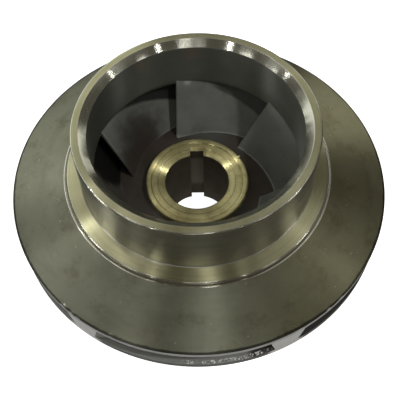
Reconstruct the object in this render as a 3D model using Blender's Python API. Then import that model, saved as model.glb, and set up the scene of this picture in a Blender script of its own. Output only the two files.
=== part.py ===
"""Closed centrifugal pump impeller, cast in one piece and machined at the eye collar, hub and rim.

Metres, +Z up towards the suction eye, the shaft axis on Z and the back end of the hub at Z = 0.
The casting is divided where a person names its parts: collar, shrouds, hub and vanes.
"""
import bpy
import bmesh
import numpy as np
from math import atan, cos, degrees, pi, radians, sin, sqrt, tan

MM = 0.001

# Eye collar
COLLAR_RADIUS = 96.7 * MM
COLLAR_TOP = 149.8 * MM
COLLAR_FACE_INNER = 90.5 * MM
EYE_RADIUS = 84.4 * MM
EYE_CHAMFER_DEPTH = 5.4 * MM
FOOT_HEIGHT = 98.9 * MM

# Front shroud: machined ring, turned groove with its ridge, cone and rim
RING_RADIUS = 108.9 * MM
RING_EDGE_HEIGHT = 96 * MM
GROOVE_RADIUS = 109.6 * MM
GROOVE_HEIGHT = 93.2 * MM
RIDGE_RADIUS = 111 * MM
RIDGE_HEIGHT = 93.7 * MM
RIM_RADIUS = 158 * MM
RIM_FRONT = 78.2 * MM
OUTLET_TOP = 73 * MM
OUTLET_BOTTOM = 55.3 * MM
RIM_BACK = 49 * MM
EDGE_BREAK = 0.8 * MM

# Roof of the passages, which flares out of the eye wall
FLARE_RADIUS = 10 * MM
ROOF_SLOPE = radians(19.5)

# Floor of the passages, which rises to the hub
FLOOR_RISE_START = 104 * MM
FLOOR_FLAT = 56.6 * MM
FLOOR_AT_HUB = 64 * MM
FLOOR_POWER = 2.3

# Hub and bore
HUB_RADIUS = 44.5 * MM
HUB_TOP = 71.2 * MM
HUB_RING_RADIUS = 39.4 * MM
HUB_FACE_STEP = 0.7 * MM
BORE_CHAMFER_RADIUS = 33.8 * MM
BORE_CHAMFER_DEPTH = 1.6 * MM
BORE_RADIUS = 27.4 * MM
KEYWAY_WIDTH = 11.8 * MM
KEYWAY_RADIUS = 31.6 * MM
BACK_CHAMFER = 1.5 * MM
BACK_FILLET = 15 * MM
BACK_FILLET_FOOT = 3 * MM

# Vanes, seen from the eye: they sweep clockwise on the way out
VANE_COUNT = 6
EDGE_THICKNESS = 3 * MM
BODY_THICKNESS = 6.4 * MM
TIP_THICKNESS = 8.4 * MM
NOSE_SHARE = 0.06
LEAD_HUB_RADIUS = 58 * MM
LEAD_HUB_ANGLE = 49
LEAD_EYE_ANGLE = 41.8
TIP_ANGLE = 55.4 - 180
HUB_SIDE_STEEPNESS = (0.20, 0.50)
ROOF_SIDE_STEEPNESS = (0.14, 0.30)

# The untrimmed vane reaches a little past the rim, into the floor and into the roof
VANE_STATIONS = 22
OVERRUN_SHARE = 1.02
ACROSS_ROWS = (-0.2, 0.25, 0.75, 1.2)
NORMAL_STEP = 0.002

GAP = 0.3 * MM
CUTTER_CLEARANCE = 2 * MM
TURNED_STEPS = 72
MERGE_DISTANCE = 0.01 * MM
SHARP_ANGLE = radians(32)

CAST_COLOUR = (0.105, 0.105, 0.08, 1)
MACHINED_COLOUR = (0.36, 0.34, 0.25, 1)
PASSAGE_COLOUR = (0.055, 0.06, 0.055, 1)


def clear_scene():
    for item in list(bpy.data.objects):
        bpy.data.objects.remove(item, do_unlink=True)


def metal(name, colour, roughness):
    material = bpy.data.materials.new(name)
    material.use_nodes = True
    shader = material.node_tree.nodes["Principled BSDF"]
    shader.inputs["Base Color"].default_value = colour
    shader.inputs["Metallic"].default_value = 1.0
    shader.inputs["Roughness"].default_value = roughness
    return material


def add_object(name, mesh, material):
    piece = bpy.data.objects.new(name, mesh)
    bpy.context.scene.collection.objects.link(piece)
    mesh.materials.clear()
    mesh.materials.append(material)
    return piece


def add_cutter(name, mesh):
    """A body that only cuts others and is no part of the casting."""
    cutter = bpy.data.objects.new(name, mesh)
    bpy.context.scene.collection.objects.link(cutter)
    cutter.hide_render = True
    cutter.display_type = "WIRE"
    return cutter


def add_boolean(piece, cutter, operation):
    change = piece.modifiers.new(cutter.name, "BOOLEAN")
    change.operation = operation
    change.solver = "EXACT"
    change.object = cutter


def finished_mesh(name, shape):
    """Turns the working shape into a mesh with outward faces, shaded round."""
    bmesh.ops.recalc_face_normals(shape, faces=shape.faces)
    mesh = bpy.data.meshes.new(name)
    shape.to_mesh(mesh)
    shape.free()
    mesh.shade_smooth()
    mesh.set_sharp_from_angle(angle=SHARP_ANGLE)
    return mesh


def turned_mesh(name, outline):
    """Spins a closed (radius, height) outline about Z into a closed ring."""
    shape = bmesh.new()
    corners = [shape.verts.new((r, 0, z)) for r, z in outline]
    loop = [shape.edges.new((corners[i - 1], corners[i])) for i in range(len(corners))]
    bmesh.ops.spin(
        shape, geom=corners + loop, cent=(0, 0, 0), axis=(0, 0, 1),
        angle=2 * pi, steps=TURNED_STEPS, use_merge=True,
    )
    bmesh.ops.remove_doubles(shape, verts=shape.verts, dist=MERGE_DISTANCE)
    return finished_mesh(name, shape)


def arc(centre, radius, start, end, count):
    """Points of an arc in the (radius, height) plane, angles in degrees."""
    angles = np.radians(np.linspace(start, end, count))
    return [(centre[0] + radius * cos(a), centre[1] + radius * sin(a)) for a in angles]


def floor_height(radius):
    """Height of the passage floor: a slow fall to the rim, and a rise to the hub."""
    if radius >= FLOOR_RISE_START:
        share = (radius - FLOOR_RISE_START) / (RIM_RADIUS - FLOOR_RISE_START)
        return FLOOR_FLAT + share * (OUTLET_BOTTOM - FLOOR_FLAT)
    share = (FLOOR_RISE_START - radius) / (FLOOR_RISE_START - HUB_RADIUS)
    return FLOOR_FLAT + (FLOOR_AT_HUB - FLOOR_FLAT) * share ** FLOOR_POWER


def floor_outline(offset, inner_radius, count=7):
    radii = np.linspace(inner_radius, FLOOR_RISE_START, count)
    points = [(r, floor_height(r) + offset) for r in radii]
    return points + [(RIM_RADIUS, OUTLET_BOTTOM + offset)]


def flare_centre():
    """Centre of the flare arc, so that it is tangent to the eye wall and to the roof's cone."""
    centre_radius = EYE_RADIUS + FLARE_RADIUS
    touch_radius = centre_radius - FLARE_RADIUS * sin(ROOF_SLOPE)
    touch_height = OUTLET_TOP + (RIM_RADIUS - touch_radius) * tan(ROOF_SLOPE)
    return centre_radius, touch_height + FLARE_RADIUS * cos(ROOF_SLOPE)


def roof_height(radius):
    """Height of the passage roof under the front shroud."""
    centre_radius, centre_height = flare_centre()
    if radius >= centre_radius - FLARE_RADIUS * sin(ROOF_SLOPE):
        return OUTLET_TOP + (RIM_RADIUS - radius) * tan(ROOF_SLOPE)
    reach = min(centre_radius - radius, FLARE_RADIUS)
    return centre_height - sqrt(FLARE_RADIUS ** 2 - reach ** 2)


def flare_arc(offset, top, count):
    """The flare from a height on the eye side down to the roof's cone, moved out of the metal by an offset."""
    centre = flare_centre()
    radius = FLARE_RADIUS + offset
    drop = max(0, centre[1] - top)
    start = 180 + degrees(atan(drop / sqrt(radius ** 2 - drop ** 2)))
    return arc(centre, radius, start, 270 - degrees(ROOF_SLOPE), count)


def flare_radius_at(height):
    """Radius of the eye's wall at a height in the flare."""
    centre_radius, centre_height = flare_centre()
    return centre_radius - sqrt(FLARE_RADIUS ** 2 - (centre_height - height) ** 2)


def eye_collar(material):
    """Machined collar of the suction eye, which runs in the casing's wear ring."""
    bottom = FOOT_HEIGHT + GAP / 2
    flare_top = flare_centre()[1]
    halfway = (flare_top + bottom) / 2
    outline = [
        (COLLAR_RADIUS, bottom),
        (COLLAR_RADIUS, COLLAR_TOP - EDGE_BREAK),
        (COLLAR_RADIUS - EDGE_BREAK, COLLAR_TOP),
        (COLLAR_FACE_INNER, COLLAR_TOP),
        (EYE_RADIUS, COLLAR_TOP - EYE_CHAMFER_DEPTH),
        (EYE_RADIUS, flare_top),
        (flare_radius_at(halfway), halfway),
        (flare_radius_at(bottom), bottom),
    ]
    return add_object("eye_collar", turned_mesh("eye_collar", outline), material)


def front_shroud(material):
    """Conical front cover of the passages, with the machined ring and groove around the collar's foot."""
    top = FOOT_HEIGHT - GAP / 2
    cone_slope = (RIDGE_HEIGHT - RIM_FRONT) / (RIM_RADIUS - RIDGE_RADIUS)
    outline = flare_arc(0, top, 6) + [
        (RIM_RADIUS, OUTLET_TOP),
        (RIM_RADIUS, RIM_FRONT - EDGE_BREAK),
        (RIM_RADIUS - EDGE_BREAK, RIM_FRONT + EDGE_BREAK * cone_slope),
        (RIDGE_RADIUS, RIDGE_HEIGHT),
        (GROOVE_RADIUS, GROOVE_HEIGHT),
        (RING_RADIUS, RING_EDGE_HEIGHT),
        (COLLAR_RADIUS, top),
    ]
    return add_object("front_shroud", turned_mesh("front_shroud", outline), material)


def back_shroud(material):
    """Back cover of the passages, with its fillet down to the hub."""
    inner = HUB_RADIUS + GAP
    fillet_centre = (inner + BACK_FILLET_FOOT + BACK_FILLET, RIM_BACK - BACK_FILLET)
    outline = floor_outline(0, inner) + [
        (RIM_RADIUS, RIM_BACK + EDGE_BREAK),
        (RIM_RADIUS - EDGE_BREAK, RIM_BACK),
    ]
    outline += arc(fillet_centre, BACK_FILLET, 90, 180, 5)
    outline.append((inner, RIM_BACK - BACK_FILLET - BACK_FILLET_FOOT))
    return add_object("back_shroud", turned_mesh("back_shroud", outline), material)


def keyway_cutter():
    """Slot along the bore at +Y, from inside the bore to the keyway's bottom."""
    inner = BORE_RADIUS / 2
    depth = KEYWAY_RADIUS - inner
    middle = (0, inner + depth / 2, HUB_TOP / 2)
    shape = bmesh.new()
    bmesh.ops.create_cube(shape, size=1)
    bmesh.ops.scale(shape, vec=(KEYWAY_WIDTH, depth, HUB_TOP + 2 * CUTTER_CLEARANCE), verts=shape.verts)
    bmesh.ops.translate(shape, vec=middle, verts=shape.verts)
    return add_cutter("keyway_cutter", finished_mesh("keyway_cutter", shape))


def hub(material):
    """Hub sleeve with its turned front face, the shaft bore and the keyway."""
    ring_height = HUB_TOP - HUB_FACE_STEP
    outline = [
        (BORE_RADIUS, BACK_CHAMFER),
        (BORE_RADIUS + BACK_CHAMFER, 0),
        (HUB_RADIUS - BACK_CHAMFER, 0),
        (HUB_RADIUS, BACK_CHAMFER),
        (HUB_RADIUS, HUB_TOP - EDGE_BREAK),
        (HUB_RADIUS - EDGE_BREAK, HUB_TOP),
        (HUB_RING_RADIUS, HUB_TOP),
        (HUB_RING_RADIUS, ring_height),
        (BORE_CHAMFER_RADIUS, ring_height),
        (BORE_RADIUS, ring_height - BORE_CHAMFER_DEPTH),
    ]
    piece = add_object("hub", turned_mesh("hub", outline), material)
    add_boolean(piece, keyway_cutter(), "DIFFERENCE")
    return piece


def passage_cutter():
    """The turned space between floor, roof and eye wall, which trims the vanes with a gap."""
    inner = HUB_RADIUS + CUTTER_CLEARANCE
    outline = floor_outline(GAP, inner)
    outline.append((RIM_RADIUS, OUTLET_TOP - GAP / cos(ROOF_SLOPE)))
    outline += reversed(flare_arc(GAP, COLLAR_TOP, 7))
    outline.append((EYE_RADIUS - GAP, COLLAR_TOP))
    outline.append((inner, COLLAR_TOP))
    return add_cutter("passage_cutter", turned_mesh("passage_cutter", outline))


def swept_radius(start, share, steepness):
    """Radius of a spiral whose slope grows steadily from the leading edge to the rim."""
    low, high = steepness
    grown = low * share + (high - low) * share ** 2 / 2
    whole = (low + high) / 2
    return start * (RIM_RADIUS / start) ** (grown / whole)


def swept_point(share, start_radius, start_angle, steepness, height_of):
    """Point of one edge of the vane's middle surface, on the floor or on the roof."""
    radius = swept_radius(start_radius, share, steepness)
    angle = radians(start_angle + share * (TIP_ANGLE - start_angle))
    return np.array([radius * cos(angle), radius * sin(angle), height_of(radius)])


def vane_point(share, across):
    """Point of the vane's middle surface: share runs outwards, across runs from floor to roof."""
    low = swept_point(share, LEAD_HUB_RADIUS, LEAD_HUB_ANGLE, HUB_SIDE_STEEPNESS, floor_height)
    high = swept_point(share, EYE_RADIUS, LEAD_EYE_ANGLE, ROOF_SIDE_STEEPNESS, roof_height)
    return low + across * (high - low)


def vane_normal(share, across):
    along = vane_point(share + NORMAL_STEP, across) - vane_point(share - NORMAL_STEP, across)
    up = vane_point(share, across + NORMAL_STEP) - vane_point(share, across - NORMAL_STEP)
    normal = np.cross(along, up)
    return normal / np.linalg.norm(normal)


def vane_thickness(share):
    """Thin at the leading edge, full after the nose, and thickest at the rim."""
    full = BODY_THICKNESS + (TIP_THICKNESS - BODY_THICKNESS) * share
    return EDGE_THICKNESS + (full - EDGE_THICKNESS) * min(1, share / NOSE_SHARE)


def vane_mesh():
    """One untrimmed vane, a slab between two faces on either side of its middle surface."""
    shares = np.linspace(0, OVERRUN_SHARE, VANE_STATIONS)
    rows = range(len(ACROSS_ROWS) - 1)
    shape = bmesh.new()
    front, back = [
        [
            [
                shape.verts.new(vane_point(s, a) + side * vane_thickness(s) / 2 * vane_normal(s, a))
                for a in ACROSS_ROWS
            ]
            for s in shares
        ]
        for side in (1, -1)
    ]
    for i in range(len(shares) - 1):
        for j in rows:
            shape.faces.new((front[i][j], front[i + 1][j], front[i + 1][j + 1], front[i][j + 1]))
            shape.faces.new((back[i][j], back[i][j + 1], back[i + 1][j + 1], back[i + 1][j]))
        for j in (0, -1):
            shape.faces.new((front[i][j], back[i][j], back[i + 1][j], front[i + 1][j]))
    for i in (0, -1):
        for j in rows:
            shape.faces.new((front[i][j], front[i][j + 1], back[i][j + 1], back[i][j]))
    bmesh.ops.triangulate(shape, faces=shape.faces)
    return finished_mesh("vane", shape)


def vanes(material):
    cutter = passage_cutter()
    mesh = vane_mesh()
    for number in range(VANE_COUNT):
        piece = add_object(f"vane_{number + 1}", mesh, material)
        piece.rotation_euler = (0, 0, 2 * pi * number / VANE_COUNT)
        add_boolean(piece, cutter, "INTERSECT")


def build():
    clear_scene()
    machined = metal("machined_metal", MACHINED_COLOUR, 0.32)
    cast = metal("cast_skin", CAST_COLOUR, 0.55)
    passage = metal("passage_skin", PASSAGE_COLOUR, 0.6)
    eye_collar(machined)
    front_shroud(cast)
    back_shroud(cast)
    hub(machined)
    vanes(passage)


build()
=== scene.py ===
"""Looks of a closed pump impeller: turned collar, ring, rim and hub, skimmed cone, cast passages and vanes.

Metres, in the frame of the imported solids: the shaft axis on Z, the keyway at +Y and the hub's back end on the
floor.
"""
from math import cos, pi, radians, sin, sqrt, tan

import bmesh
import bpy
import numpy as np
from mathutils import Matrix, Vector, noise


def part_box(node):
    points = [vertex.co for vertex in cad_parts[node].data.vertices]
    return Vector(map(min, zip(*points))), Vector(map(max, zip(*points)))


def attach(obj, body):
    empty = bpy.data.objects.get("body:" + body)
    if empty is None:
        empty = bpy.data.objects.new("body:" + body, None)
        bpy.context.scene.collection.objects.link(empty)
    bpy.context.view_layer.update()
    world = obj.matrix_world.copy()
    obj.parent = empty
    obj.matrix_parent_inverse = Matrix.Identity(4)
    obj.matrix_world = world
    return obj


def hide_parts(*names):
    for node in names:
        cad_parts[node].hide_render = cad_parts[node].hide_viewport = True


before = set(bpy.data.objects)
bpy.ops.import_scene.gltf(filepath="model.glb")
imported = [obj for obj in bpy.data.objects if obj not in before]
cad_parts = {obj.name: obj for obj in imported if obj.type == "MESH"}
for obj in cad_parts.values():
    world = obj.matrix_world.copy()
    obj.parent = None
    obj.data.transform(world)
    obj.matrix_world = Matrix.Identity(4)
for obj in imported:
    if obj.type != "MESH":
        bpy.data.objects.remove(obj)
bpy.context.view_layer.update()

MM = 0.001
BODY = "root"

# Sizes read from the solids
GAP = 0.3 * MM
COLLAR_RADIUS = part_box("eye_collar")[1].x
COLLAR_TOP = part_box("eye_collar")[1].z
FOOT_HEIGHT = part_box("eye_collar")[0].z - GAP / 2
RIM_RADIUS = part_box("front_shroud")[1].x
OUTLET_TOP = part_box("front_shroud")[0].z
HUB_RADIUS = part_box("hub")[1].x
HUB_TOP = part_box("hub")[1].z
HUB_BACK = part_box("hub")[0].z

# Sizes repeated from the source of the solids, and those of finer forms that only the looks have
COLLAR_FACE_INNER = 90.5 * MM
EYE_RADIUS = 84.4 * MM
EYE_CHAMFER_DEPTH = 5.4 * MM
RING_RADIUS = 108.9 * MM
RING_EDGE_HEIGHT = 96 * MM
GROOVE_RADIUS = 109.6 * MM
GROOVE_HEIGHT = 93.2 * MM
RIDGE_RADIUS = 111 * MM
RIDGE_HEIGHT = 93.7 * MM
FOOT_LIP = 0.9 * MM
RIM_FRONT = 78.2 * MM
OUTLET_BOTTOM = 55.3 * MM
RIM_BACK = 49 * MM
FLARE_RADIUS = 10 * MM
ROOF_SLOPE = radians(19.5)
FLOOR_RISE_START = 104 * MM
FLOOR_FLAT = 56.6 * MM
FLOOR_AT_HUB = 64 * MM
FLOOR_POWER = 2.3
HUB_RING_RADIUS = 39.4 * MM
HUB_FACE_STEP = 0.7 * MM
HUB_GROOVE_WIDTH = 0.8 * MM
HUB_GROOVE_DEPTH = 0.4 * MM
BORE_CHAMFER_RADIUS = 33.8 * MM
BORE_CHAMFER_DEPTH = 1.6 * MM
BORE_RADIUS = 27.4 * MM
KEYWAY_WIDTH = 11.8 * MM
KEYWAY_RADIUS = 31.6 * MM
BACK_FILLET = 15 * MM
BACK_FILLET_FOOT = 3 * MM

VANE_COUNT = 6
NOSE_THICKNESS = 3 * MM
NOSE_GROWTH = 12 * MM
BODY_THICKNESS = 6.4 * MM
TIP_THICKNESS = 8.4 * MM
LEAD_HUB_RADIUS = 58 * MM
LEAD_HUB_ANGLE = 49
LEAD_EYE_ANGLE = 41.8
TIP_ANGLE = 55.4 - 180
HUB_SIDE_STEEPNESS = (0.20, 0.50)
ROOF_SIDE_STEEPNESS = (0.14, 0.30)
VANE_FILLET = 1.3 * MM

# Finishes, as the material slots of every turned piece
MACHINED, SKIMMED, CAST, FLOOR, EYE, RIM, TIP, BORE, WALL, CHAMFER, HUB_FACE, BACK_RIM, KEYWAY = range(13)
SHADED_VANE, PAINTED_SHADE_AND_LIGHT_VANE, PAINTED_SHADOW_VANE = range(13, 16)
VANE_FINISHES = (CAST, SHADED_VANE, PAINTED_SHADE_AND_LIGHT_VANE, PAINTED_SHADOW_VANE, CAST, CAST)

# How finely the pieces are made, and how uneven their cast and skimmed skins are
TURNED_STEPS = 480
ROUND_STEPS = 4
LONGEST_CAST_STEP = 1.6 * MM
SHARP_ANGLE = radians(32)
CAST_UNEVENNESS = 0.22 * MM
SKIM_UNEVENNESS = 0.05 * MM
EVEN_RIM = 0.6 * MM
VANE_SAMPLES = 500
VANE_STATIONS = 96
FILLET_ROWS = 7
MIDDLE_ROWS = 9
TIP_COLUMNS = 7
VANE_ROOT = 0.5 * MM

# The camera, solved from the coaxial circles of the photograph
CAMERA_DISTANCE = 309.4 * MM
CAMERA_HEIGHT = 542 * MM
CAMERA_PITCH = radians(58.4)
CAMERA_YAW = radians(-2.96)
CAMERA_ROLL = radians(-4.23)
CAMERA_TURN = radians(1.0)
SENSOR_WIDTH = 36
FRAME_PIXELS = 400
FOCAL_PIXELS = 648.1
CENTRE_PIXEL = (180, 200)

# The studio
PANEL_DISTANCE = 2
LAMP_DISTANCE = 2.2
STAGE_SIZE = 12
BACKDROP_RADIUS = 5.9

# Marks that the photograph shows: centre, inner and outer radius and the edge's wander, all in millimetres,
# then share and colour
# Near blacks of painted shade: deep in the passages, and where the vanes stand in shadow
PAINTED_SHADE_BLACK = (0.022, 0.019, 0.019, 1)
PAINTED_SHADOW_BLACK = (0.01, 0.01, 0.009, 1)
# Second vane: a pale casting flash at its head, a pale blob at its foot, and a patch of painted shade on its
# far part
SHADED_MARKS = (
    ((-8, 84.5, 104), 2, 5, 3, 1, (0.32, 0.32, 0.29, 1)),
    ((-19, 55, 60.5), 2, 6, 3, 0.6, (0.32, 0.32, 0.30, 1)),
    ((44, 66, 76), 4, 22, 6, 0.5, (0.09, 0.09, 0.078, 1)),
)
# Third vane: painted shade over most of its face and at its foot, and a patch of painted light near its foot
PAINTED_SHADE_AND_LIGHT_MARKS = (
    ((-50, 48, 72), 12, 42, 10, 0.95, (0.07, 0.068, 0.057, 1)),
    ((-57, 18, 66), 6, 28, 6, 0.9, (0.05, 0.042, 0.034, 1)),
    ((-50, 45, 66), 4, 36, 9, 0.8, (0.045, 0.036, 0.029, 1)),
    ((-31, 63, 62), 2, 11, 8, 0.5, (0.19, 0.19, 0.18, 1)),
)
# Fourth vane: painted shade, down to near black where it stands in the third vane's shadow
PAINTED_SHADOW_MARKS = (
    ((-70, 0, 70), 40, 80, 8, 0.9, (0.07, 0.062, 0.05, 1)),
    ((-80, 18, 76), 20, 27, 5, 0.95, PAINTED_SHADOW_BLACK),
)
WALL_MARKS = (
    ((-2.5, 84.5, 138), 2, 11, 4, 0.5, (0.19, 0.14, 0.10, 1)),
    ((-44, 72.4, 138), 2, 12, 5, 0.5, (0.19, 0.15, 0.11, 1)),
)
# Painted light: a lighter pool on the floor before the second vane
PAINTED_LIGHT_FLOOR_MARKS = (
    ((10, 56, 61), 4, 30, 6, 1, (0.10, 0.10, 0.088, 1)),
)
FLECKED_MOUTH = (22 * MM, -154 * MM, 55 * MM)

# Azimuth and half width in degrees, and depth
HUB_BURR = (32.7, 1.6, 1.6 * MM)
RIM_NICKS = (
    (-131.6, 1.1, 1.2 * MM), (-128.3, 0.8, 0.9 * MM), (-125.7, 0.8, 0.8 * MM),
    (-114.5, 0.8, 0.7 * MM), (-51.1, 0.9, 0.9 * MM), (-46.1, 0.8, 0.8 * MM),
)


# Outlines in the (radius, height) plane

def rounded(corners):
    """Outline (radius, height, finish) from corners (radius, height, cut, finish), rounded by their cut."""
    points = []
    for i, (r, z, cut, finish) in enumerate(corners):
        here = np.array((r, z))
        if not cut:
            points.append((r, z, finish))
            continue
        before, after = (np.array(corners[k % len(corners)][:2]) for k in (i - 1, i + 1))
        start = here + (before - here) / np.linalg.norm(before - here) * cut
        end = here + (after - here) / np.linalg.norm(after - here) * cut
        for t in np.linspace(0, 1, ROUND_STEPS + 1):
            bent = (1 - t) ** 2 * start + 2 * t * (1 - t) * here + t * t * end
            points.append((bent[0], bent[1], finish))
    return points


def divided(outline):
    """The outline with its long cast and skimmed stretches cut into short steps."""
    points = []
    for i, (r, z, finish) in enumerate(outline):
        r2, z2, _ = outline[(i + 1) % len(outline)]
        count = 1
        if finish in (CAST, FLOOR, EYE, SKIMMED):
            count = max(1, round(sqrt((r2 - r) ** 2 + (z2 - z) ** 2) / LONGEST_CAST_STEP))
        for k in range(count):
            points.append((r + (r2 - r) * k / count, z + (z2 - z) * k / count, finish))
    return points


def floor_height(radius):
    """Height of the passage floor: a slow fall to the rim, and a rise to the hub."""
    out = (radius - FLOOR_RISE_START) / (RIM_RADIUS - FLOOR_RISE_START)
    rise = np.maximum(FLOOR_RISE_START - radius, 0) / (FLOOR_RISE_START - HUB_RADIUS)
    outer = FLOOR_FLAT + out * (OUTLET_BOTTOM - FLOOR_FLAT)
    inner = FLOOR_FLAT + (FLOOR_AT_HUB - FLOOR_FLAT) * rise ** FLOOR_POWER
    return np.where(radius >= FLOOR_RISE_START, outer, inner)


def flare_centre():
    """Centre of the flare arc, so that it is tangent to the eye wall and to the roof's cone."""
    centre_radius = EYE_RADIUS + FLARE_RADIUS
    touch_radius = centre_radius - FLARE_RADIUS * sin(ROOF_SLOPE)
    touch_height = OUTLET_TOP + (RIM_RADIUS - touch_radius) * tan(ROOF_SLOPE)
    return centre_radius, touch_height + FLARE_RADIUS * cos(ROOF_SLOPE)


def roof_height(radius):
    """Height of the passage roof under the front shroud."""
    centre_radius, centre_height = flare_centre()
    reach = np.clip(centre_radius - radius, 0, FLARE_RADIUS)
    flare = centre_height - np.sqrt(FLARE_RADIUS ** 2 - reach ** 2)
    cone = OUTLET_TOP + (RIM_RADIUS - radius) * tan(ROOF_SLOPE)
    return np.where(radius >= centre_radius - FLARE_RADIUS * sin(ROOF_SLOPE), cone, flare)


def flare_points(first, last, count, finish=CAST):
    """Points of the flare arc between two angles in degrees, measured about its centre."""
    centre_radius, centre_height = flare_centre()
    return [
        (centre_radius + FLARE_RADIUS * cos(a), centre_height + FLARE_RADIUS * sin(a), finish)
        for a in np.radians(np.linspace(first, last, count))
    ]


def split_angle():
    """Angle on the flare arc at the height where the collar meets the front shroud, in degrees."""
    drop = flare_centre()[1] - FOOT_HEIGHT
    return 180 + np.degrees(np.arcsin(drop / FLARE_RADIUS))


# Meshes

def finished_object(name, co, faces, finishes, face_finish):
    """A smooth object from vertices, quads and one finish for each face."""
    mesh = bpy.data.meshes.new(name)
    mesh.from_pydata(co.tolist(), [], faces.tolist())
    used = sorted(set(face_finish.tolist()))
    for finish in used:
        mesh.materials.append(finishes[finish])
    mesh.polygons.foreach_set("material_index", np.searchsorted(used, face_finish).astype(np.int32))
    mesh.shade_smooth()
    mesh.set_sharp_from_angle(angle=SHARP_ANGLE)
    mesh.update()
    piece = bpy.data.objects.new(name, mesh)
    bpy.context.scene.collection.objects.link(piece)
    return piece


def unevenness(co, depth):
    """Height of a sand-cast surface at each point: broad waves and a finer grain."""
    broad, fine = 45, 190
    heights = np.empty(len(co))
    for i, point in enumerate(co):
        spot = Vector(point)
        heights[i] = 0.7 * noise.noise(spot * broad) + 0.3 * noise.noise(spot * fine)
    return heights * depth


def turned(name, outline, finishes, shape_by=None):
    """Spins an outline of (radius, height, finish) about Z, and makes its cast stretches uneven."""
    angles = np.linspace(0, 2 * pi, TURNED_STEPS, endpoint=False)
    r = np.array([p[0] for p in outline])
    z = np.array([p[1] for p in outline])
    finish = np.array([p[2] for p in outline])
    rise = np.stack([np.roll(z, -1) - np.roll(z, 1), np.roll(r, 1) - np.roll(r, -1)], 1)
    rise /= np.maximum(np.linalg.norm(rise, axis=1), 1e-9)[:, None]
    rough = np.where(finish == SKIMMED, SKIM_UNEVENNESS, 0)
    rough = np.where(np.isin(finish, (CAST, FLOOR, EYE)), CAST_UNEVENNESS, rough)
    rough = np.minimum(rough, np.roll(rough, 1))
    rough[r > RIM_RADIUS - EVEN_RIM] = 0
    co = np.stack([
        np.outer(np.cos(angles), r), np.outer(np.sin(angles), r), np.tile(z, (TURNED_STEPS, 1)),
    ], 2)
    out = np.stack([
        np.outer(np.cos(angles), rise[:, 0]), np.outer(np.sin(angles), rise[:, 0]),
        np.tile(rise[:, 1], (TURNED_STEPS, 1)),
    ], 2)
    for j in np.nonzero(rough)[0]:
        co[:, j] += out[:, j] * unevenness(co[:, j], rough[j])[:, None]
    if shape_by:
        shape_by(co)
    count = len(outline)
    i, j = np.meshgrid(np.arange(TURNED_STEPS), np.arange(count), indexing="ij")
    i2, j2 = (i + 1) % TURNED_STEPS, (j + 1) % count
    quads = np.stack([i * count + j, i2 * count + j, i2 * count + j2, i * count + j2], 2).reshape(-1, 4)
    return finished_object(name, co.reshape(-1, 3), quads, finishes, np.tile(finish, TURNED_STEPS))


# Pieces

def ring_height(radius):
    """Height of the machined ring, which slopes down from the collar's foot."""
    slope = (FOOT_HEIGHT - RING_EDGE_HEIGHT) / (RING_RADIUS - COLLAR_RADIUS)
    return FOOT_HEIGHT - (radius - COLLAR_RADIUS) * slope


def eye_collar(finishes):
    """Turned collar with its running face, top face and chamfer, over the cast wall of the eye."""
    corners = [
        (COLLAR_RADIUS + FOOT_LIP, ring_height(COLLAR_RADIUS + FOOT_LIP), 0, WALL),
        (COLLAR_RADIUS, FOOT_HEIGHT + 0.1 * MM, 0.8 * MM, WALL),
        (COLLAR_RADIUS, COLLAR_TOP, 1.0 * MM, CHAMFER),
        (COLLAR_RADIUS - 1.1 * MM, COLLAR_TOP, 0, MACHINED),
        (COLLAR_FACE_INNER, COLLAR_TOP, 0.25 * MM, CHAMFER),
        (EYE_RADIUS, COLLAR_TOP - EYE_CHAMFER_DEPTH, 0.5 * MM, EYE),
    ]
    outline = rounded(corners)[:-1]
    outline += flare_points(180, split_angle() + 1, 8, EYE)
    outline.append((COLLAR_RADIUS - 4 * MM, FOOT_HEIGHT - 0.4 * MM, MACHINED))
    return turned("eye_collar_turned", divided(outline), finishes)


def front_shroud(finishes):
    """Front cover: machined ring, groove and ridge, skimmed cone, turned rim and the cast roof inside."""
    cone_slope = (RIDGE_HEIGHT - RIM_FRONT) / (RIM_RADIUS - RIDGE_RADIUS)
    corners = [
        (RIM_RADIUS, OUTLET_TOP, 0.15 * MM, RIM),
        (RIM_RADIUS, RIM_FRONT, 0.5 * MM, SKIMMED),
        (RIDGE_RADIUS + 0.7 * MM, RIDGE_HEIGHT - 0.7 * MM * cone_slope, 0, CHAMFER),
        (RIDGE_RADIUS, RIDGE_HEIGHT, 0.4 * MM, CHAMFER),
        (GROOVE_RADIUS + 0.45 * MM, GROOVE_HEIGHT + 0.1 * MM, 0, CHAMFER),
        (GROOVE_RADIUS, GROOVE_HEIGHT, 0.2 * MM, BORE),
        (RING_RADIUS + 0.35 * MM, RING_EDGE_HEIGHT - 1.8 * MM, 0, CHAMFER),
        (RING_RADIUS, RING_EDGE_HEIGHT, 0.6 * MM, CHAMFER),
        (RING_RADIUS - 0.7 * MM, ring_height(RING_RADIUS - 0.7 * MM), 0, MACHINED),
        (COLLAR_RADIUS + 0.3 * MM, ring_height(COLLAR_RADIUS + 0.3 * MM), 0, MACHINED),
        (COLLAR_RADIUS - 2 * MM, FOOT_HEIGHT, 0, MACHINED),
    ]
    outline = rounded(corners) + flare_points(split_angle(), 270 - np.degrees(ROOF_SLOPE), 9)
    return turned("front_shroud_cast", divided(outline), finishes, shape_by=nick_rim)


def nick_rim(co):
    """Small dents in the edge of the rim, cut inwards where the photograph shows them."""
    radius = np.hypot(co[..., 0], co[..., 1])
    azimuth = np.degrees(np.arctan2(co[..., 1], co[..., 0]))
    reach = 2 * MM
    edge = np.clip((radius - (RIM_RADIUS - reach)) / reach, 0, 1) * (co[..., 2] > OUTLET_TOP + 2.5 * MM)
    for centre, width, depth in RIM_NICKS:
        across = np.clip(1 - np.abs(azimuth - centre) / width, 0, 1)
        dent = depth * across * edge
        co[..., :2] *= (1 - dent / radius)[..., None]
        co[..., 2] -= dent


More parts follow.
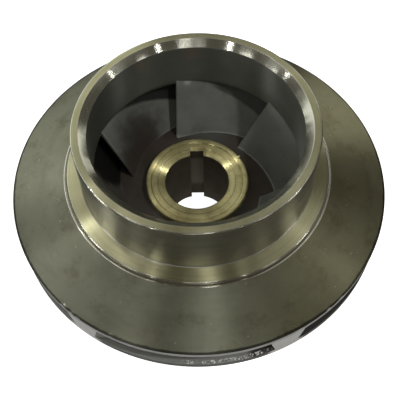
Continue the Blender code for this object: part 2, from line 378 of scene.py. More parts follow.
def back_shroud(finishes):
    """Back cover: cast floor rising to the hub, turned rim and face, and the fillet down to the boss."""
    inner = HUB_RADIUS - 1 * MM
    fillet_radius, fillet_height = HUB_RADIUS + BACK_FILLET_FOOT + BACK_FILLET, RIM_BACK - BACK_FILLET
    outline = [(inner, fillet_height - BACK_FILLET_FOOT, CAST)]
    outline += [
        (fillet_radius + BACK_FILLET * cos(a), fillet_height + BACK_FILLET * sin(a), CAST)
        for a in np.radians(np.linspace(180, 90, 9))
    ]
    outline[-1] = (*outline[-1][:2], SKIMMED)
    outline += rounded([
        (RIM_RADIUS, RIM_BACK, 0.5 * MM, BACK_RIM),
        (RIM_RADIUS, OUTLET_BOTTOM, 0.15 * MM, FLOOR),
        (inner, FLOOR_AT_HUB, 0, FLOOR),
    ])[:-1]
    for radius in np.linspace(RIM_RADIUS, inner, 60)[1:]:
        outline.append((radius, float(floor_height(max(radius, HUB_RADIUS))), FLOOR))
    return turned("back_shroud_cast", divided(outline), finishes)


def hub(finishes):
    """Turned hub with two ring grooves in its face, the bore and the keyway."""
    step_height = HUB_TOP - HUB_FACE_STEP
    seat_height = step_height - 0.3 * MM
    bore_edge = step_height - BORE_CHAMFER_DEPTH
    half = HUB_GROOVE_WIDTH / 2
    corners = [
        (HUB_RADIUS, HUB_BACK, 1.2 * MM, MACHINED),
        (HUB_RADIUS, HUB_TOP, 1.6 * MM, HUB_FACE),
        (HUB_RING_RADIUS + half + 0.4 * MM, HUB_TOP, 0.2 * MM, HUB_FACE),
        (HUB_RING_RADIUS, step_height - 0.1 * MM, 0, HUB_FACE),
        (HUB_RING_RADIUS - half, step_height, 0.15 * MM, HUB_FACE),
        (BORE_CHAMFER_RADIUS + half + 0.4 * MM, step_height, 0.15 * MM, HUB_FACE),
        (BORE_CHAMFER_RADIUS, step_height - HUB_GROOVE_DEPTH, 0, BORE),
        (BORE_CHAMFER_RADIUS - half, seat_height, 0.15 * MM, HUB_FACE),
        (BORE_RADIUS + 1.2 * MM, bore_edge + 0.3 * MM, 0.4 * MM, HUB_FACE),
        (BORE_RADIUS, bore_edge - 0.5 * MM, 0.5 * MM, BORE),
        (BORE_RADIUS, HUB_BACK, 1.2 * MM, MACHINED),
    ]
    piece = turned("hub_turned", rounded(corners), finishes, shape_by=raise_burr)
    cut_keyway(piece, finishes[KEYWAY])
    return piece


def raise_burr(co):
    """A small burr that stands out of the face's outer edge."""
    centre, width, size = HUB_BURR
    radius = np.hypot(co[..., 0], co[..., 1])
    azimuth = np.degrees(np.arctan2(co[..., 1], co[..., 0]))
    edge = (radius > HUB_RADIUS - 1 * MM) & (co[..., 2] > HUB_TOP - 1 * MM)
    grown = size * np.clip(1 - np.abs(azimuth - centre) / width, 0, 1) * edge
    co[..., :2] *= (1 + grown / radius)[..., None]
    co[..., 2] += 0.3 * grown


def cut_keyway(piece, finish):
    """Cuts the slot for the key along the whole bore at +Y, and applies the cut."""
    inner = BORE_RADIUS / 2
    depth = KEYWAY_RADIUS - inner
    bpy.ops.mesh.primitive_cube_add(size=1, location=(0, inner + depth / 2, HUB_TOP / 2))
    cutter = bpy.context.object
    cutter.scale = (KEYWAY_WIDTH, depth, HUB_TOP * 1.2)
    piece.data.materials.append(finish)
    cutter.data.materials.append(finish)
    cut = piece.modifiers.new("keyway", "BOOLEAN")
    cut.operation = "DIFFERENCE"
    cut.solver = "EXACT"
    cut.object = cutter
    depsgraph = bpy.context.evaluated_depsgraph_get()
    mesh = bpy.data.meshes.new_from_object(piece.evaluated_get(depsgraph))
    piece.modifiers.clear()
    piece.data = mesh
    bpy.data.objects.remove(cutter, do_unlink=True)
    mesh.shade_smooth()
    mesh.set_sharp_from_angle(angle=SHARP_ANGLE)


# Vanes

def swept_radius(start, share, steepness):
    """Radius of a spiral whose slope grows steadily from the leading edge to the rim."""
    low, high = steepness
    grown = low * share + (high - low) * share ** 2 / 2
    return start * (RIM_RADIUS / start) ** (grown / ((low + high) / 2))


def swept_edge(share, start_radius, start_angle, steepness, height_of):
    """Points of one edge of the vane's middle surface, on the floor or on the roof."""
    radius = swept_radius(start_radius, share, steepness)
    angle = np.radians(start_angle + share * (TIP_ANGLE - start_angle))
    return np.stack([radius * np.cos(angle), radius * np.sin(angle), height_of(radius)], -1)


def middle_surface(share, across):
    """Points of the vane's middle surface for arrays of share, outwards, and across, floor to roof."""
    low = swept_edge(share, LEAD_HUB_RADIUS, LEAD_HUB_ANGLE, HUB_SIDE_STEEPNESS, floor_height)
    high = swept_edge(share, EYE_RADIUS, LEAD_EYE_ANGLE, ROOF_SIDE_STEEPNESS, roof_height)
    return low + across[..., None] * (high - low)


def wall_profiles():
    """Dense (radius, height) points of floor and roof with their normals into the passage."""
    reach = RIM_RADIUS * 1.05
    radii = np.linspace(HUB_RADIUS, reach, 500)
    floor = np.stack([radii, floor_height(radii)], 1)
    centre_radius, centre_height = flare_centre()
    angles = np.radians(np.linspace(180, 270 - np.degrees(ROOF_SLOPE), 120))
    wall = np.stack([np.full(40, EYE_RADIUS), np.linspace(COLLAR_TOP, centre_height, 40)], 1)
    flare = FLARE_RADIUS * np.stack([np.cos(angles), np.sin(angles)], 1) + (centre_radius, centre_height)
    cone_radii = np.linspace(flare[-1, 0], reach, 300)[1:]
    cone = np.stack([cone_radii, roof_height(cone_radii)], 1)
    roof = np.concatenate([wall, flare, cone])
    profiles = []
    for line, side in ((floor, 1), (roof, -1)):
        step = np.gradient(line, axis=0)
        normal = np.stack([-step[:, 1], step[:, 0]], 1) * side
        profiles.append((line, normal / np.linalg.norm(normal, axis=1)[:, None]))
    return profiles


def seated(points, profile, distance):
    """Moves points in their own (radius, height) plane to stand at a distance from a wall profile."""
    line, normal = profile
    radius = np.hypot(points[:, 0], points[:, 1])
    gap = (radius[:, None] - line[:, 0]) ** 2 + (points[:, 2][:, None] - line[:, 1]) ** 2
    nearest = gap.argmin(1)
    target = line[nearest] + normal[nearest] * distance
    moved = points.copy()
    moved[:, :2] *= (target[:, 0] / radius)[:, None]
    moved[:, 2] = target[:, 1]
    return moved


def half_thickness(share, travelled, near):
    """Half the vane's thickness along it: a round nose, a body that grows, and the fillet near a wall."""
    nose = np.clip(travelled / (0.5 * NOSE_THICKNESS), 0, 1)
    roundness = np.sqrt(1 - (1 - nose) ** 2)
    grown = np.clip(travelled / NOSE_GROWTH, 0, 1)
    body = BODY_THICKNESS + (TIP_THICKNESS - BODY_THICKNESS) * share
    half = (NOSE_THICKNESS + (body - NOSE_THICKNESS) * grown) / 2
    fillet = VANE_FILLET - sqrt(VANE_FILLET ** 2 - near ** 2)
    return (half + fillet) * roundness


def vane_side(side, distances, from_roof, profiles):
    """Grid of one face of the vane: a row for each distance from the floor or the roof, cut at the rim."""
    past_rim, step = 1.12, 0.002
    share = np.linspace(0, past_rim, VANE_SAMPLES)
    foot, head = (middle_surface(share, np.full(VANE_SAMPLES, across)) for across in (0.0, 1.0))
    height = np.linalg.norm(head - foot, axis=1)
    rows = []
    for row, distance in enumerate(distances):
        across = np.clip(distance / height, -0.2, 0.5)
        across = 1 - across if from_roof[row] else across
        middle = middle_surface(share, across)
        along = middle_surface(share + step, across) - middle_surface(share - step, across)
        up = middle_surface(share, across + step) - middle_surface(share, across - step)
        normal = np.cross(along, up)
        normal /= np.linalg.norm(normal, axis=1)[:, None]
        travelled = np.concatenate([[0], np.cumsum(np.linalg.norm(np.diff(middle, axis=0), axis=1))])
        near = np.clip(VANE_FILLET - distance, 0, VANE_FILLET)
        points = middle + side * half_thickness(share, travelled, near)[:, None] * normal
        if near:
            held = seated(points, profiles[int(from_roof[row])], distance)
            points = points + (held - points) * near / VANE_FILLET
        rows.append(cut_at_rim(points))
    return np.array(rows)


def cut_at_rim(points):
    """Cuts a polyline where it reaches the rim, and spaces its points closer at the leading edge."""
    radius = np.hypot(points[:, 0], points[:, 1])
    last = int(np.argmax(radius >= RIM_RADIUS))
    part = (RIM_RADIUS - radius[last - 1]) / (radius[last] - radius[last - 1])
    end = points[last - 1] + part * (points[last] - points[last - 1])
    line = np.concatenate([points[:last], end[None]])
    length = np.concatenate([[0], np.cumsum(np.linalg.norm(np.diff(line, axis=0), axis=1))])
    crowding = 1.7
    wanted = length[-1] * np.linspace(0, 1, VANE_STATIONS) ** crowding
    return np.stack([np.interp(wanted, length, line[:, k]) for k in range(3)], 1)


def vane_faces(profiles):
    """Grids of the vane's two faces, with rows from the foot in the floor to the head in the roof."""
    fillet = VANE_FILLET * (1 - np.cos(np.linspace(0, pi / 2, FILLET_ROWS)))
    distances = np.concatenate([[-VANE_ROOT], fillet, np.zeros(MIDDLE_ROWS), fillet[::-1], [-VANE_ROOT]])
    count = len(distances)
    from_roof = np.arange(count) > count // 2
    first, last = FILLET_ROWS, count - 1 - FILLET_ROWS
    blend = np.linspace(0, 1, last - first + 1)[:, None, None]
    grids = []
    for side in (1, -1):
        grid = vane_side(side, distances, from_roof, profiles)
        grid[first:last + 1] = grid[first] + blend * (grid[last] - grid[first])
        grids.append(grid)
    return grids


def vane_tip(front, back):
    """Grid across the vane's tip, on the turned rim."""
    columns = []
    for k in range(1, TIP_COLUMNS):
        points = front[:, -1] + (back[:, -1] - front[:, -1]) * k / TIP_COLUMNS
        points[:, :2] *= (RIM_RADIUS / np.hypot(points[:, 0], points[:, 1]))[:, None]
        columns.append(points)
    return np.stack(columns, 1)


def vane(number, finishes, front, back):
    """One cast vane with its fillets, rounded leading edge and turned tip."""
    loop = np.concatenate([front, vane_tip(front, back), back[:, ::-1][:, :-1]], 1)
    rows, around = loop.shape[:2]
    turn = 2 * pi * number / VANE_COUNT
    spin = np.array([[cos(turn), -sin(turn), 0], [sin(turn), cos(turn), 0], [0, 0, 1]])
    co = loop.reshape(-1, 3) @ spin.T
    i, j = np.meshgrid(np.arange(rows - 1), np.arange(around), indexing="ij")
    j2 = (j + 1) % around
    quads = np.stack([i * around + j, i * around + j2, (i + 1) * around + j2, (i + 1) * around + j], 2)
    tip_start = front.shape[1] - 1
    tip = (j >= tip_start) & (j < tip_start + TIP_COLUMNS)
    finish = np.where(tip, TIP, VANE_FINISHES[number]).reshape(-1)
    piece = finished_object(f"vane_{number + 1}_cast", co, quads.reshape(-1, 4), finishes, finish)
    close_ends(piece, rows, around)
    return piece


def close_ends(piece, rows, around):
    """Closes the vane's foot and head, which lie inside the shrouds, and turns all faces outwards."""
    shape = bmesh.new()
    shape.from_mesh(piece.data)
    shape.verts.ensure_lookup_table()
    for row in (0, rows - 1):
        ring = [shape.verts[row * around + k] for k in range(around)]
        shape.faces.new(ring)
    bmesh.ops.recalc_face_normals(shape, faces=shape.faces)
    shape.to_mesh(piece.data)
    shape.free()


# Materials

class Recipe:
    """Builds the nodes of one material around its Principled shader."""

    def __init__(self, name):
        self.material = bpy.data.materials.new(name)
        self.material.use_nodes = True
        self.tree = self.material.node_tree
        self.shader = self.tree.nodes["Principled BSDF"]
        self.spot = self.node("TexCoord").outputs["Object"]
        flat = self.node("VectorMath", {0: self.spot, 1: (1, 1, 0)}, operation="MULTIPLY")
        self.radius = self.node("VectorMath", {0: flat.outputs[0]}, operation="LENGTH").outputs["Value"]
        self.heading = self.node("VectorMath", {0: flat.outputs[0]}, operation="NORMALIZE").outputs[0]
        split = self.node("SeparateXYZ", {0: self.spot})
        self.side, self.height = split.outputs["X"], split.outputs["Z"]

    def feed(self, socket, value):
        """Links another socket into this one, or sets a plain value on it."""
        if isinstance(value, bpy.types.NodeSocket):
            self.tree.links.new(value, socket)
        else:
            socket.default_value = value

    def node(self, kind, inputs=None, **settings):
        made = self.tree.nodes.new("ShaderNode" + kind)
        for key, value in settings.items():
            setattr(made, key, value)
        for key, value in (inputs or {}).items():
            self.feed(made.inputs[key], value)
        return made

    def set(self, **values):
        """Values or sockets for the shader's inputs, with underscores for the spaces in their names."""
        for key, value in values.items():
            self.feed(self.shader.inputs[key.replace("_", " ")], value)

    def math(self, operation, *values):
        return self.node("Math", dict(enumerate(values)), operation=operation).outputs[0]

    def times(self, first, second):
        return self.math("MULTIPLY", first, second)

    def noise(self, vector, scale, detail=3, roughness=0.5):
        inputs = {"Vector": vector, "Scale": scale, "Detail": detail, "Roughness": roughness}
        return self.node("TexNoise", inputs).outputs[0]

    def fade(self, value, start, end, low=0.0, high=1.0):
        """Smooth step of a value from start to end, as low to high."""
        inputs = {"Value": value, "From Min": start, "From Max": end, "To Min": low, "To Max": high}
        return self.node("MapRange", inputs, interpolation_type="SMOOTHSTEP").outputs[0]

    def band(self, value, start, full, last, end):
        """One from full to last, falling to zero at start and at end."""
        return self.times(self.fade(value, start, full), self.fade(value, end, last))

    def mix(self, share, first, second):
        """First colour, with a share of the second laid over it."""
        made = self.node("Mix", data_type="RGBA")
        for number, value in ((0, share), (6, first), (7, second)):
            self.feed(made.inputs[number], value)
        return made.outputs[2]

    def turned_vector(self, pitch, wander):
        """Coordinates that change fast across the tool marks and slowly along them."""
        across = self.times(self.math("MULTIPLY_ADD", self.height, 0.83, self.radius), 1 / pitch)
        along = self.node("VectorMath", {0: self.heading, "Scale": wander}, operation="SCALE").outputs[0]
        split = self.node("SeparateXYZ", {0: along})
        return self.node("CombineXYZ", {0: across, 1: split.outputs[0], 2: split.outputs[1]}).outputs[0]

    def patch(self, centre, inner, outer, wander):
        """One around a point, falling to zero with an uneven edge."""
        gap = self.node("VectorMath", {0: self.spot, 1: centre}, operation="DISTANCE").outputs["Value"]
        shift = self.math("SUBTRACT", self.noise(self.spot, 110, 3), 0.5)
        uneven = self.math("MULTIPLY_ADD", shift, 2 * wander, gap)
        return self.fade(uneven, inner, outer, 1, 0)

    def marked(self, colour, marks):
        """Lays a table's marks over a colour."""
        for centre, inner, outer, wander, share, shade in marks:
            place = [value * MM for value in centre]
            patch = self.patch(place, inner * MM, outer * MM, wander * MM)
            colour = self.mix(self.times(patch, share), colour, shade)
        return colour

    def specks(self, scale, size, rarity):
        """Small round spots in some of the cells of a scattered pattern."""
        cells = self.node("TexVoronoi", {"Vector": self.spot, "Scale": scale})
        chosen = self.node("SeparateColor", {0: cells.outputs["Color"]}).outputs[0]
        spot = self.fade(cells.outputs["Distance"], size, size * 0.6)
        return self.times(spot, self.math("GREATER_THAN", chosen, rarity))

    def scratches(self):
        """A few fine straight marks that cross the turning."""
        inputs = {"Vector": self.spot, "Angle": radians(35)}
        turned = self.node("VectorRotate", inputs, rotation_type="Z_AXIS")
        long = self.node("VectorMath", {0: turned.outputs[0], 1: (60, 1800, 60)}, operation="MULTIPLY")
        lines = self.noise(long.outputs[0], 1, 2, 0.4)
        places = self.noise(self.spot, 70, 2)
        return self.times(self.fade(lines, 0.70, 0.76, 0, 0.6), self.fade(places, 0.55, 0.62))

    def between_tips(self):
        """Zero on the rim under the vane tips and one under the outlets."""
        split = self.node("SeparateXYZ", {0: self.spot})
        azimuth = self.math("ARCTAN2", split.outputs["Y"], split.outputs["X"])
        phase = self.math("SUBTRACT", azimuth, radians(TIP_ANGLE))
        wave = self.math("COSINE", self.times(phase, VANE_COUNT))
        return self.fade(wave, 0.90, 0.80)

    def bump(self, height, distance, strength=1.0, below=None):
        inputs = {"Height": height, "Distance": distance, "Strength": strength}
        if below:
            inputs["Normal"] = below
        return self.node("Bump", inputs).outputs[0]

    def brushed(self, amount):
        """Stretches highlights across the concentric tool marks."""
        tangent = self.node("Tangent", direction_type="RADIAL", axis="Z").outputs[0]
        self.set(Anisotropic=amount, Anisotropic_Rotation=0.25, Tangent=tangent)


def machined_metal(name, dull, bright, tarnished, roughness=(0.27, 0.285), stained=False):
    """Freshly turned iron: fine concentric marks, slight tarnish in patches, and blots where stained."""
    m = Recipe(name)
    marks = m.noise(m.turned_vector(0.35 * MM, 1.5), 1, 4, 0.6)
    bands = m.noise(m.turned_vector(2.2 * MM, 0.8), 1, 3)
    tarnish = m.noise(m.spot, 26, 4, 0.6)
    colour = m.mix(m.fade(bands, 0.3, 0.7), dull, bright)
    colour = m.mix(m.fade(tarnish, 0.45, 0.75, 0, 0.55), colour, tarnished)
    rough = m.math("ADD", m.fade(marks, 0.2, 0.8, *roughness), m.fade(tarnish, 0.4, 0.8, 0, 0.06))
    if stained:
        blots = m.noise(m.spot, 170, 4, 0.7)
        colour = m.mix(m.fade(blots, 0.48, 0.66, 0, 0.4), colour, (0.34, 0.255, 0.11, 1))
        colour = m.mix(m.fade(blots, 0.42, 0.30, 0, 0.4), colour, (0.72, 0.70, 0.55, 1))
    m.set(Base_Color=colour, Metallic=1.0, Roughness=rough, Normal=m.bump(marks, 0.002 * MM, 0.5))
    m.brushed(1)
    return m.material


def wall_metal():
    """Outer wall of the collar: a finer cut, which mirrors the ring at its foot."""
    m = Recipe("wall_metal")
    marks = m.noise(m.turned_vector(0.3 * MM, 1.2), 1, 4, 0.6)
    bands = m.noise(m.turned_vector(3.5 * MM, 0.8), 1, 3)
    tarnish = m.noise(m.spot, 30, 4, 0.6)
    colour = m.mix(m.fade(bands, 0.3, 0.7), (0.47, 0.46, 0.40, 1), (0.55, 0.545, 0.48, 1))
    colour = m.mix(m.fade(tarnish, 0.45, 0.75, 0, 0.5), colour, (0.38, 0.36, 0.28, 1))
    rough = m.fade(tarnish, 0.3, 0.7, 0.3, 0.36)
    m.set(Base_Color=colour, Metallic=1.0, Roughness=rough, Normal=m.bump(marks, 0.0015 * MM, 0.5))
    m.brushed(0.6)
    return m.material


def skimmed_iron():
    """Dull skimmed casting: faint turning marks, stains, pits, scratches and a dark worn edge at the rim."""
    m = Recipe("skimmed_iron")
    marks = m.noise(m.turned_vector(1.1 * MM, 2.5), 1, 4, 0.6)
    clouds = m.noise(m.spot, 14, 5, 0.6)
    stains = m.noise(m.spot, 48, 5, 0.7)
    smears = m.noise(m.turned_vector(9 * MM, 3), 1, 3, 0.6)
    grain = m.noise(m.spot, 900, 3, 0.6)
    colour = m.mix(m.fade(clouds, 0.3, 0.7), (0.205, 0.205, 0.148, 1), (0.27, 0.275, 0.205, 1))
    colour = m.mix(m.fade(stains, 0.5, 0.72, 0, 0.6), colour, (0.14, 0.125, 0.082, 1))
    colour = m.mix(m.fade(smears, 0.5, 0.72, 0, 0.35), colour, (0.16, 0.16, 0.115, 1))
    colour = m.mix(m.fade(stains, 0.42, 0.25, 0, 0.4), colour, (0.31, 0.32, 0.25, 1))
    colour = m.mix(m.fade(grain, 0.45, 0.8, 0, 0.25), colour, (0.30, 0.30, 0.22, 1))
    for scale, size, shade in ((190, 0.16, (0.52, 0.50, 0.42, 1)), (260, 0.13, (0.035, 0.03, 0.02, 1))):
        pits = m.times(m.specks(scale, size, 0.8), m.fade(stains, 0.4, 0.6, 0.1, 0.7))
        colour = m.mix(pits, colour, shade)
    colour = m.mix(m.scratches(), colour, (0.50, 0.49, 0.40, 1))
    # Painted shade: the right side is tinted warmer and a little darker
    painted_shade_tint = m.mix(m.fade(m.side, 0, 90 * MM), (1, 1, 1, 1), (1, 0.95, 0.80, 1))
    colour = m.node("VectorMath", {0: colour, 1: painted_shade_tint}, operation="MULTIPLY").outputs[0]
    edge = m.math("MULTIPLY_ADD", stains, 3 * MM, m.radius)
    worn = m.fade(edge, RIM_RADIUS - 0.8 * MM, RIM_RADIUS + 0.2 * MM, 0, 0.85)
    colour = m.mix(worn, colour, (0.03, 0.03, 0.025, 1))
    rough = m.fade(m.math("ADD", clouds, marks), 0.6, 1.4, 0.29, 0.38)
    normal = m.bump(marks, 0.02 * MM, 0.5)
    normal = m.bump(grain, 0.05 * MM, 0.35, normal)
    m.set(Base_Color=colour, Metallic=0.95, Roughness=rough, Normal=normal)
    m.brushed(0.6)
    return m.material


def cast_iron(name, marks=(), painted_lip_shadow=None):
    """Sand-cast skin of the passages, dark and grainy, with a table's marks, some of them painted shade and
    light.

    A painted_lip_shadow (radius, left, right, share), in millimetres but for its share, paints the eye lip's
    shadow on it, near black past that radius, more and more from left to right.
    """
    m = Recipe(name)
    clouds = m.noise(m.spot, 22, 4, 0.6)
    blots = m.noise(m.spot, 75, 4, 0.6)
    grain = m.noise(m.spot, 420, 4, 0.6)
    colour = m.mix(m.fade(clouds, 0.3, 0.7), (0.168, 0.172, 0.152, 1), (0.212, 0.218, 0.196, 1))
    colour = m.mix(m.fade(blots, 0.5, 0.75, 0, 0.4), colour, (0.11, 0.105, 0.085, 1))
    colour = m.marked(colour, marks)
    # Painted shadow of the eye's lip, near black past a radius
    if painted_lip_shadow:
        edge, left, right, share = painted_lip_shadow
        uneven = m.math("MULTIPLY_ADD", blots, 1.5 * MM, m.radius)
        beyond = m.fade(uneven, edge * MM, (edge + 2) * MM)
        sideways = m.fade(m.side, left * MM, right * MM, 0, share)
        colour = m.mix(m.times(beyond, sideways), colour, PAINTED_SHADOW_BLACK)
    rough = m.fade(clouds, 0.3, 0.7, 0.46, 0.56)
    normal = m.bump(grain, 0.15 * MM, 0.4)
    m.set(Base_Color=colour, Metallic=0.3, Roughness=rough, Specular_IOR_Level=0.25, Normal=normal)
    return m.material


def floor_iron():
    """Cast floor: brown by the hub, painted shade to black further out, painted light at its mouth and by a
    vane, bare flecks.
    """
    m = Recipe("floor_iron")
    clouds = m.noise(m.spot, 30, 4, 0.6)
    grain = m.noise(m.spot, 420, 4, 0.6)
    colour = m.mix(m.fade(clouds, 0.3, 0.7), (0.058, 0.047, 0.036, 1), (0.085, 0.07, 0.056, 1))
    # Painted shade: the floor darkens to near black further out in the passages
    out = m.math("MULTIPLY_ADD", clouds, 8 * MM, m.radius)
    colour = m.mix(m.fade(out, 70 * MM, 88 * MM, 0, 0.85), colour, PAINTED_SHADE_BLACK)
    # Painted light on the floor before the second vane
    colour = m.marked(colour, PAINTED_LIGHT_FLOOR_MARKS)
    # Painted light: the floor's mouth is lighter, mostly towards the left
    mouth = m.times(m.fade(m.radius, 144 * MM, 150 * MM), m.fade(m.side, 43 * MM, 35 * MM, 0.06, 1))
    colour = m.mix(mouth, colour, (0.27, 0.275, 0.255, 1))
    lip = m.band(m.radius, 154.6 * MM, 155.2 * MM, 157.4 * MM, 157.8 * MM)
    worn = m.times(lip, m.patch(FLECKED_MOUTH, 24 * MM, 40 * MM, 4 * MM))
    flecks = m.times(worn, m.fade(m.noise(m.spot, 620, 3, 0.7), 0.53, 0.57))
    colour = m.mix(flecks, colour, (1, 1, 0.96, 1))
    m.set(Base_Color=colour, Metallic=0.3, Roughness=0.5, Normal=m.bump(grain, 0.15 * MM, 0.4))
    return m.material


def eye_iron():
    """Wall of the eye: a dark, slightly shiny skin with two brown stains, and painted shade darkening its left
    side.
    """
    m = Recipe("eye_iron")
    marks = m.noise(m.turned_vector(1.5 * MM, 3), 1, 3)
    clouds = m.noise(m.spot, 24, 4, 0.6)
    grain = m.noise(m.spot, 500, 3, 0.6)
    colour = m.mix(m.fade(clouds, 0.3, 0.7), (0.125, 0.13, 0.108, 1), (0.162, 0.167, 0.142, 1))
    # Painted shade: darker towards the left side
    colour = m.mix(m.fade(m.side, -45 * MM, -80 * MM, 0, 0.55), colour, (0.05, 0.055, 0.04, 1))
    colour = m.marked(colour, WALL_MARKS)
    normal = m.bump(marks, 0.02 * MM, 0.5)
    normal = m.bump(grain, 0.08 * MM, 0.4, normal)
    m.set(Base_Color=colour, Metallic=0.55, Roughness=m.fade(clouds, 0.3, 0.7, 0.40, 0.46), Normal=normal)
    m.brushed(1)
    return m.material


def bore_metal(name, lighter_halfway=False):
    """Bored wall of the hub, brown and dull, or the keyway, lighter in a band half way down."""
    m = Recipe(name)
    marks = m.noise(m.turned_vector(0.5 * MM, 1.5), 1, 4, 0.6)
    clouds = m.noise(m.spot, 40, 4, 0.6)
    colour = m.mix(m.fade(clouds, 0.3, 0.7), (0.09, 0.075, 0.052, 1), (0.13, 0.112, 0.085, 1))
    if lighter_halfway:
        uneven = m.math("MULTIPLY_ADD", clouds, 10 * MM, m.height)
        lighter_band = m.band(uneven, 20 * MM, 28 * MM, 60 * MM, 66 * MM)
        colour = m.mix(lighter_band, colour, (0.26, 0.23, 0.19, 1))
    m.set(Base_Color=colour, Metallic=0.7, Roughness=0.5, Normal=m.bump(marks, 0.02 * MM, 0.5))
    return m.material


def rim_metal(name, dull, bright, only_at_tips=False):
    """Turned face of the rim and the vane tips, plain grey, or dark between the tips."""
    m = Recipe(name)
    marks = m.noise(m.turned_vector(0.6 * MM, 1.5), 1, 4, 0.6)
    clouds = m.noise(m.spot, 60, 3)
    colour = m.mix(m.fade(clouds, 0.3, 0.7), dull, bright)
    if only_at_tips:
        colour = m.mix(m.between_tips(), colour, (0.16, 0.16, 0.15, 1))
    m.set(Base_Color=colour, Metallic=0.5, Roughness=0.45, Normal=m.bump(marks, 0.02 * MM, 0.5))
    m.brushed(0.4)
    return m.material


def all_finishes():
    """One material for each finish, in the order of the finishes."""
    collar = machined_metal(
        "machined_metal", (0.525, 0.505, 0.30, 1), (0.58, 0.565, 0.36, 1), (0.41, 0.375, 0.21, 1),
    )
    # Chamfers and edge breaks: turned metal with a finer cut; its whiter colour is a painted sheen of the white
    # light they reflect
    chamfer = machined_metal(
        "chamfer_metal_painted_sheen", (0.58, 0.575, 0.48, 1), (0.66, 0.655, 0.56, 1), (0.5, 0.48, 0.36, 1),
        roughness=(0.15, 0.18),
    )
    hub_face = machined_metal(
        "hub_metal", (0.62, 0.56, 0.265, 1), (0.72, 0.66, 0.34, 1), (0.50, 0.43, 0.19, 1),
        roughness=(0.30, 0.36), stained=True,
    )
    bore = bore_metal("bore_metal")
    keyway = bore_metal("keyway_metal", lighter_halfway=True)
    rim = rim_metal("rim_metal", (0.37, 0.37, 0.365, 1), (0.47, 0.47, 0.465, 1))
    tip_shades = ((0.55, 0.55, 0.53, 1), (0.65, 0.65, 0.63, 1))
    tip = rim_metal("tip_metal", *tip_shades)
    back_rim = rim_metal("back_rim_metal", *tip_shades, only_at_tips=True)
    return [
        collar, skimmed_iron(), cast_iron("cast_iron"), floor_iron(), eye_iron(),
        rim, tip, bore, wall_metal(), chamfer, hub_face, back_rim, keyway,
        # Vanes with painted shade and light: their tables' marks, and the lip's shadow painted past a radius
        cast_iron("shaded_vane_iron", SHADED_MARKS, (84, 8, 24, 0.7)),
        cast_iron("painted_shade_and_light_vane_iron", PAINTED_SHADE_AND_LIGHT_MARKS, (86, -200, -100, 0.9)),
        cast_iron("painted_shadow_vane_iron", PAINTED_SHADOW_MARKS),
    ]


# Studio

def pale_material():
    """Evenly lit and matt."""
    material = bpy.data.materials.new("pale_floor")
    material.use_nodes = True
    shader = material.node_tree.nodes["Principled BSDF"]
    shader.inputs["Base Color"].default_value = (0.7, 0.7, 0.7, 1)
    shader.inputs["Roughness"].default_value = 0.9
    shader.inputs["Specular IOR Level"].default_value = 0.1
    shader.inputs["Emission Color"].default_value = (1, 1, 1, 1)
    shader.inputs["Emission Strength"].default_value = 1.0
    return material


def stage():
    """Plain pale floor under the hub, and a pale backdrop that only the camera sees."""
    material = pale_material()
    bpy.ops.mesh.primitive_plane_add(size=STAGE_SIZE, location=(0, 0, HUB_BACK - 0.2 * MM))
    floor = bpy.context.object
    floor.name = "floor"
    floor.data.materials.append(material)
    floor.visible_glossy = False
    bpy.ops.mesh.primitive_cylinder_add(
        vertices=64, radius=BACKDROP_RADIUS, depth=STAGE_SIZE, end_fill_type="NOTHING",
    )
    backdrop = bpy.context.object
    backdrop.name = "backdrop"
    backdrop.data.materials.append(material)
    backdrop.visible_glossy = False
    backdrop.visible_diffuse = False
    backdrop.visible_shadow = False


def lamp(name, azimuth, elevation, power, size, glossy=True):
    """Round soft lamp that faces the impeller from a direction in degrees."""
    light = bpy.data.lights.new(name, "AREA")
    light.shape = "DISK"
    light.size = size
    light.energy = power
    holder = bpy.data.objects.new(name, light)
    bpy.context.scene.collection.objects.link(holder)
    a, e = radians(azimuth), radians(elevation)
    towards = Vector((cos(e) * cos(a), cos(e) * sin(a), sin(e)))
    holder.location = towards * LAMP_DISTANCE + Vector((0, 0, RIDGE_HEIGHT))
    holder.rotation_euler = towards.to_track_quat("Z", "Y").to_euler()
    holder.visible_glossy = glossy
    return holder


def upright_panel(name, azimuth, width, low, high, power, colour):
    """Upright panel behind the impeller, which lightens the far sides of the cone and the collar's top."""
    light = bpy.data.lights.new(name, "AREA")
    light.shape = "RECTANGLE"
    light.size, light.size_y = width, high - low
    light.energy = power
    light.color = colour
    holder = bpy.data.objects.new(name, light)
    bpy.context.scene.collection.objects.link(holder)
    away = Vector((cos(radians(azimuth)), sin(radians(azimuth)), 0))
    holder.location = away * PANEL_DISTANCE + Vector((0, 0, (low + high) / 2))
    holder.rotation_euler = away.to_track_quat("Z", "Y").to_euler()


def only_on(holder, piece):
    """Keeps a lamp's light to one piece."""
    receivers = bpy.data.collections.new(holder.name + "_receivers")
    receivers.objects.link(piece)
    holder.light_linking.receiver_collection = receivers


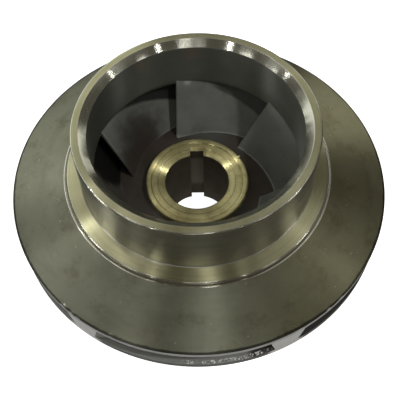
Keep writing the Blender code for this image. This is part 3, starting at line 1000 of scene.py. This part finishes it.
def studio_light(hub_piece):
    """Panels and lamps of a soft studio: azimuth, elevation, watts and width of each lamp."""
    upright_panel("back_left_panel", 126, 2.0, 0.75, 2.4, 11.5, (0.97, 1.0, 0.96))
    upright_panel("back_right_panel", 55, 0.8, 0.3, 1.5, 2.7, (1.0, 1.0, 0.93))
    lamp("key", -32, 58, 16, 0.10, glossy=False)
    lamp("front_right", -53, 50, 0.7, 0.09)
    lamp("front_left", 233, 49, 2.2, 0.09)
    lamp("right_glint", -5, 37, 0.6, 0.09)
    lamp("left_glint", 177, 34, 0.5, 0.09)
    lamp("ring_glint", 153, 56, 0.9, 0.04)
    lamp("hub_glint", 135, 68, 0.5, 0.2)
    only_on(lamp("hub_left_glint", 168, 46, 6, 0.09), hub_piece)
    only_on(lamp("hub_right_glint", 26, 48, 7, 0.1), hub_piece)
    lamp("left_high", 147, 54, 1.2, 0.7)
    lamp("left_top", 176, 68, 0.8, 0.6)
    lamp("left_soft", 170, 54, 0.6, 0.5)
    lamp("back_high", 95, 60, 0.85, 0.7)
    lamp("right_high", 12, 61, 1.3, 1.2)
    lamp("right_back", 38, 58, 0.45, 0.6)
    lamp("left_low", 197, 15, 7, 0.5)
    lamp("right_low", -15, 17, 3, 0.5)
    lamp("front_soft", -90, 37, 1.3, 0.7)
    lamp("front_high", -92, 52, 0.4, 0.5)
    lamp("front_left_low", 222, 27, 2.0, 0.5)
    lamp("front_right_low", -41, 19, 1.2, 0.5)
    lamp("above", 283, 70, 1.1, 0.25)


def studio_world():
    """Weak warm light from all around."""
    world = bpy.data.worlds.new("studio")
    world.use_nodes = True
    back = world.node_tree.nodes["Background"]
    back.inputs["Color"].default_value = (1, 0.94, 0.80, 1)
    back.inputs["Strength"].default_value = 0.10
    bpy.context.scene.world = world


def camera():
    """The photograph's own view, as fitted to the coaxial circles of the casting."""
    level = Vector((sin(CAMERA_YAW), cos(CAMERA_YAW), 0))
    forward = level * cos(CAMERA_PITCH) - Vector((0, 0, sin(CAMERA_PITCH)))
    right = Vector((cos(CAMERA_YAW), -sin(CAMERA_YAW), 0))
    up = right.cross(forward)
    rolled_right = right * cos(CAMERA_ROLL) + up * sin(CAMERA_ROLL)
    rolled_up = up * cos(CAMERA_ROLL) - right * sin(CAMERA_ROLL)
    basis = Matrix((rolled_right, rolled_up, -forward)).transposed().to_4x4()
    data = bpy.data.cameras.new("camera")
    data.sensor_width = SENSOR_WIDTH
    data.lens = FOCAL_PIXELS / FRAME_PIXELS * SENSOR_WIDTH
    data.shift_x = (FRAME_PIXELS / 2 - CENTRE_PIXEL[0]) / FRAME_PIXELS
    data.shift_y = (CENTRE_PIXEL[1] - FRAME_PIXELS / 2) / FRAME_PIXELS
    data.clip_start = 0.01
    view = bpy.data.objects.new("camera", data)
    bpy.context.scene.collection.objects.link(view)
    place = Matrix.Translation((0, -CAMERA_DISTANCE, CAMERA_HEIGHT)) @ basis
    view.matrix_world = Matrix.Rotation(CAMERA_TURN, 4, "Z") @ place
    bpy.context.scene.camera = view


def dress(piece, node):
    """The piece rides with the casting and stands for its solid."""
    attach(piece, BODY)
    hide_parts(node)


def build():
    """The whole picture: the dressed pieces, the stage, the light and the camera."""
    camera()
    finishes = all_finishes()
    dress(eye_collar(finishes), "eye_collar")
    dress(front_shroud(finishes), "front_shroud")
    dress(back_shroud(finishes), "back_shroud")
    hub_piece = hub(finishes)
    dress(hub_piece, "hub")
    front, back = vane_faces(wall_profiles())
    for number in range(VANE_COUNT):
        dress(vane(number, finishes, front, back), f"vane_{number + 1}")
    stage()
    studio_light(hub_piece)
    studio_world()
    bpy.context.scene.view_settings.view_transform = "Standard"


build()
